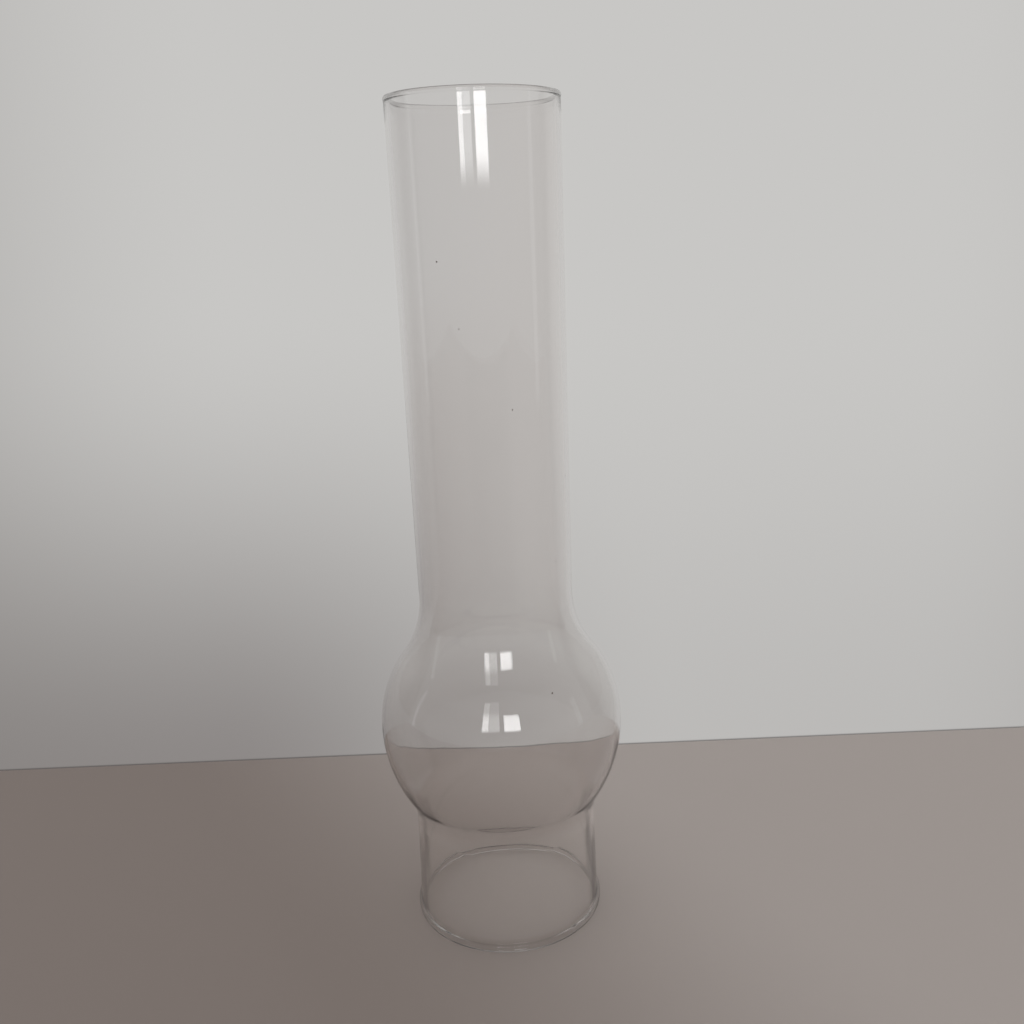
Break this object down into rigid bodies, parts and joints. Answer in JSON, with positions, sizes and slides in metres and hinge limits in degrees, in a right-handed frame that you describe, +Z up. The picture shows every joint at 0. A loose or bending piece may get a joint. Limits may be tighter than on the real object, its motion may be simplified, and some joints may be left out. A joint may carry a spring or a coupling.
{
  "type": "oil lamp chimney",
  "caption": "Clear blown-glass chimney for an oil lamp, open at both ends, with a short fitter on a turned-out foot, a round bulb and a tall stack.",
  "frame": {"origin": "on the axis at the foot, on the surface that the glass stands on", "axes": "+Z up along the axis of the glass, from the fitter to the top of the stack; the glass is round, so +X and +Y are free"},
  "size_m": [0.0906, 0.0906, 0.3],
  "materials": {
    "clear_glass": "clear soda-lime glass, fire-polished, with faint drawing lines and a few specks"
  },
  "bodies": {
    "root": {"lamp_chimney": "clear_glass"}
  },
  "joints": []
}
